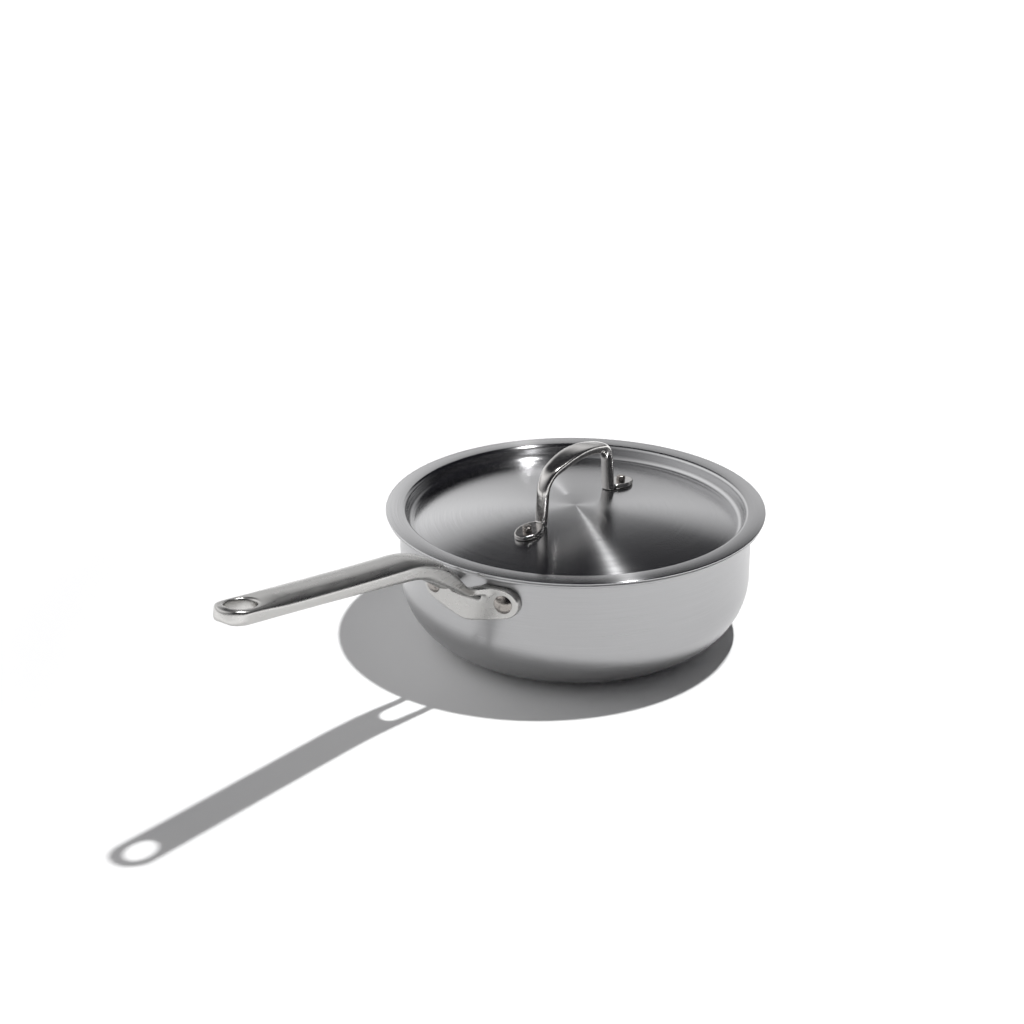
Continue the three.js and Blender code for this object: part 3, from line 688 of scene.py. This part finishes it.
# Lid rivets: short stainless studs through the feet and the dome, round edged
# above and spread to a low dome under the lid. They are buffed as the handle
# rivets are.
STUD_SHANK = 2.0
STUD_HEAD = 2.9
STUD_HEIGHT = 2.8
STUD_EDGE = 0.7
STUD_TAIL = 4.0
STUD_TAIL_DOME = 1.2
STUD_EDGE_STEPS = 6
STUD_TAIL_STEPS = 8
STUD_SPIN_STEPS = 40
under_flat = -LID_SHEET - SEAT_GAP
foot_flat = FOOT_THICKNESS + SEAT_GAP * 1.5
stud_top = foot_flat + STUD_HEIGHT
stud_profile = dome(STUD_TAIL, STUD_TAIL_DOME, under_flat, -1, STUD_TAIL_STEPS)[::-1]
stud_profile += [(STUD_SHANK, under_flat), (STUD_SHANK, foot_flat), (STUD_HEAD, foot_flat)]
stud_profile += arc(STUD_HEAD - STUD_EDGE, stud_top - STUD_EDGE, STUD_EDGE, 0, 90, STUD_EDGE_STEPS)
stud_profile += [(0, stud_top)]
for name, side in {"front": 1, "rear": -1}.items():
    stud = turned("grip_rivet_" + name, stud_profile, STUD_SPIN_STEPS)
    stud.data.transform(lid_rivet_place(side))
    stud.data.materials.append(rivet_steel)
    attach(stud, "lid_assembly")
    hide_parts("lid_rivet_" + name)


# Studio floor: a sheet of matt white paper. Away from the object it also glows
# for the eye and for reflections, so that it reads as white, and near the
# object it keeps the shadow.
FLOOR_SIZE = 40
GLOW_START = 0.33
GLOW_FULL = 0.75
GLOW_LEVEL = 0.9
bpy.ops.object.select_all(action="DESELECT")
bpy.ops.mesh.primitive_plane_add(size=FLOOR_SIZE)
floor = bpy.context.active_object
floor.name = "paper_floor"
paper = bpy.data.materials.new("white_paper")
paper.use_nodes = True
tree = paper.node_tree
tree.nodes.remove(tree.nodes["Principled BSDF"])
place = add_node(tree, "ShaderNodeTexCoord").outputs["Object"]
away = add_node(tree, "ShaderNodeVectorMath", None, {0: place}, operation="LENGTH")
sweep = add_node(tree, "ShaderNodeMapRange",
                 {"From Min": GLOW_START, "From Max": GLOW_FULL, "To Min": 0.0,
                  "To Max": GLOW_LEVEL},
                 {"Value": away.outputs["Value"]}, interpolation_type="SMOOTHSTEP")
ray = add_node(tree, "ShaderNodeLightPath")
seen = add_node(tree, "ShaderNodeMath", None,
                {0: ray.outputs["Is Camera Ray"], 1: ray.outputs["Is Glossy Ray"]},
                operation="MAXIMUM")
seen = add_node(tree, "ShaderNodeMath", None,
                {0: seen.outputs[0], 1: ray.outputs["Is Transmission Ray"]}, operation="MAXIMUM")
strength = add_node(tree, "ShaderNodeMath", None, {0: seen.outputs[0], 1: sweep.outputs[0]},
                    operation="MULTIPLY")
glow = add_node(tree, "ShaderNodeEmission", {"Color": linear("#FFFFFF")},
                {"Strength": strength.outputs[0]})
matt = add_node(tree, "ShaderNodeBsdfDiffuse", {"Color": linear("#FAFAFA")})
both = add_node(tree, "ShaderNodeAddShader", None, {0: matt.outputs[0], 1: glow.outputs[0]})
tree.links.new(both.outputs[0], tree.nodes["Material Output"].inputs["Surface"])
floor.data.materials.append(paper)


# Studio light: one small lamp high up on the right, and in a dark room one long
# soft light that stands on the left and reaches round to the back, where it is
# lower. Bearings count from the back, leftwards, and the levels run along them.
LAMP_POWER = 92
LAMP_RADIUS = 0.025
LAMP_PLACE = (-0.2419, 0.3292, 1.499)
ROOM_TURN = math.radians(143.8)
LIGHT_HEIGHT = math.radians(18)
LIGHT_CLIMB = 0.27
LIGHT_SPREAD = math.radians(11)
LIGHT_WIDENING = 0.29
SPREADS_SHOWN = 2.0
HEIGHT_LEVELS = [(0.1, 0.36), (0.25, 0.42), (0.375, 0.75), (0.5, 1), (0.625, 0.55), (0.75, 0.0)]
BEARING_LEVELS = [(0.32, 0), (0.4375, 0.45), (0.5, 0.8), (0.625, 1), (0.75, 1), (0.875, 0.42),
                  (1, 0)]
ROOM_LEVEL = (1.45, 1.45, 1.45)
ROOM_FILL = (0.017, 0.017, 0.021)
lamp = bpy.data.lights.new("key_lamp", "POINT")
lamp.energy = LAMP_POWER
lamp.shadow_soft_size = LAMP_RADIUS
lamp_object = bpy.data.objects.new("key_lamp", lamp)
lamp_object.location = LAMP_PLACE
bpy.context.scene.collection.objects.link(lamp_object)

world = bpy.data.worlds.new("studio")
bpy.context.scene.world = world
world.use_nodes = True
tree = world.node_tree
facing = add_node(tree, "ShaderNodeTexCoord").outputs["Generated"]
room_axes = add_node(tree, "ShaderNodeMapping", {"Rotation": (0, 0, ROOM_TURN)},
                     {"Vector": facing})
axes = add_node(tree, "ShaderNodeSeparateXYZ", None, {0: room_axes.outputs[0]})
bearing = add_node(tree, "ShaderNodeMath", None, {0: axes.outputs["Y"], 1: axes.outputs["X"]},
                   operation="ARCTAN2")
rise = add_node(tree, "ShaderNodeMath", None, {0: axes.outputs["Z"]}, operation="ARCSINE")
leftward = add_node(tree, "ShaderNodeMath", {1: 0.0}, {0: bearing.outputs[0]},
                    operation="MAXIMUM")
middle = add_node(tree, "ShaderNodeMath", {1: LIGHT_CLIMB, 2: LIGHT_HEIGHT},
                  {0: leftward.outputs[0]}, operation="MULTIPLY_ADD")
spread = add_node(tree, "ShaderNodeMath", {1: LIGHT_WIDENING, 2: LIGHT_SPREAD},
                  {0: leftward.outputs[0]}, operation="MULTIPLY_ADD")
above = add_node(tree, "ShaderNodeMath", None, {0: rise.outputs[0], 1: middle.outputs[0]},
                 operation="SUBTRACT")
share = add_node(tree, "ShaderNodeMath", None, {0: above.outputs[0], 1: spread.outputs[0]},
                 operation="DIVIDE")
upright = add_node(tree, "ShaderNodeMapRange",
                   {"From Min": -SPREADS_SHOWN, "From Max": SPREADS_SHOWN},
                   {"Value": share.outputs[0]})
around = add_node(tree, "ShaderNodeMapRange", {"From Min": -math.pi, "From Max": math.pi},
                  {"Value": bearing.outputs[0]})
levels = []
for along, stops in ((upright, HEIGHT_LEVELS), (around, BEARING_LEVELS)):
    ramp = add_node(tree, "ShaderNodeValToRGB", None, {0: along.outputs[0]})
    elements = ramp.color_ramp.elements
    for i, (position, level) in enumerate(stops):
        stop = elements[i] if i < len(elements) else elements.new(position)
        stop.position, stop.color = position, (level, level, level, 1)
    levels.append(ramp.outputs[0])
room = add_node(tree, "ShaderNodeVectorMath", None, dict(enumerate(levels)), operation="MULTIPLY")
room = add_node(tree, "ShaderNodeVectorMath", {1: ROOM_LEVEL, 2: ROOM_FILL}, {0: room.outputs[0]},
                operation="MULTIPLY_ADD")
tree.links.new(room.outputs[0], tree.nodes["Background"].inputs["Color"])
bpy.context.scene.view_settings.view_transform = "Standard"


# Camera: where the photograph was taken from, looking down on the pan with the
# long handle towards the left.
CAMERA_LENS = 75.5
CAMERA_SENSOR = 36
CAMERA_PLACE = (1.0590, 0.7243, 0.6209)
CAMERA_HEADING = (-0.8070, -0.5906)
CAMERA_PITCH = math.radians(22.752)
camera = bpy.data.cameras.new("camera")
camera.lens = CAMERA_LENS
camera.sensor_width = CAMERA_SENSOR
camera_object = bpy.data.objects.new("camera", camera)
camera_object.location = CAMERA_PLACE
level = math.cos(CAMERA_PITCH)
look = Vector((CAMERA_HEADING[0] * level, CAMERA_HEADING[1] * level, -math.sin(CAMERA_PITCH)))
camera_object.rotation_euler = look.to_track_quat("-Z", "Y").to_euler()
bpy.context.scene.collection.objects.link(camera_object)
bpy.context.scene.camera = camera_object
